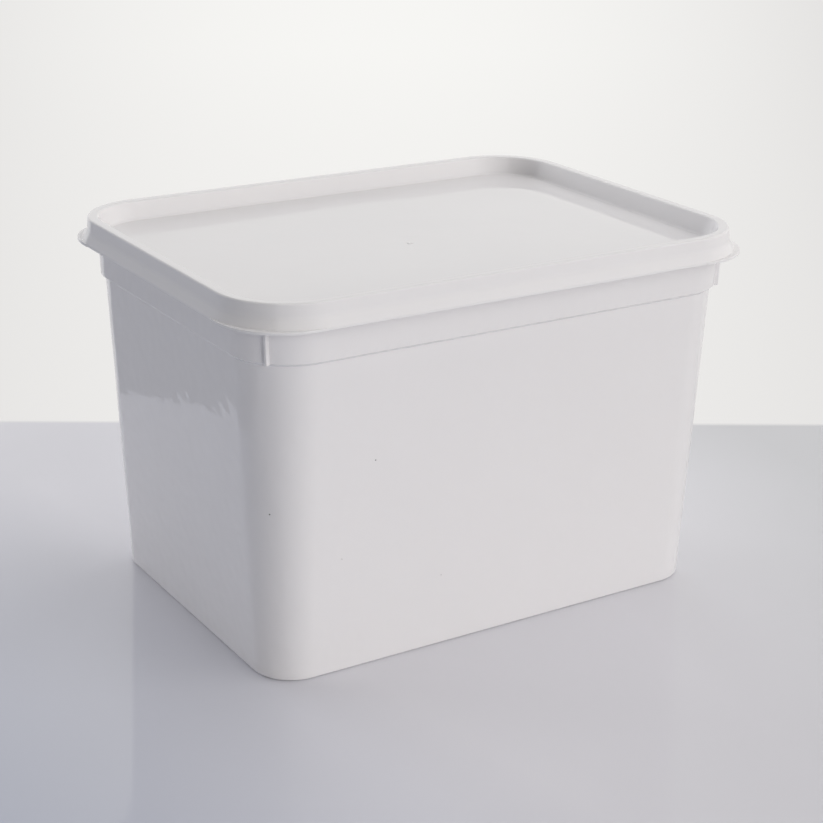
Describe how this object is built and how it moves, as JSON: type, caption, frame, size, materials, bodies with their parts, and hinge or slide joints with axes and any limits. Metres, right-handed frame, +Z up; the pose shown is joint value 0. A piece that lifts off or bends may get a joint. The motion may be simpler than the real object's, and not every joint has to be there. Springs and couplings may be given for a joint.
{
  "type": "lidded rectangular plastic tub",
  "caption": "White rectangular plastic food tub with rounded corners, drafted walls, a ledge under the rim and a push-on lid with a recessed panel and corner lips.",
  "frame": {"origin": "middle of the base, on the surface the tub stands on", "axes": "+X along the length, +Y along the width, +Z up through the lid"},
  "size_m": [0.2274, 0.1704, 0.15],
  "materials": {
    "tub_plastic": "smooth injection-moulded white polypropylene, glossy",
    "lid_plastic": "smooth injection-moulded white polypropylene, glossy"
  },
  "bodies": {
    "root": {"tub": "tub_plastic", "lid": "lid_plastic"}
  },
  "joints": []
}
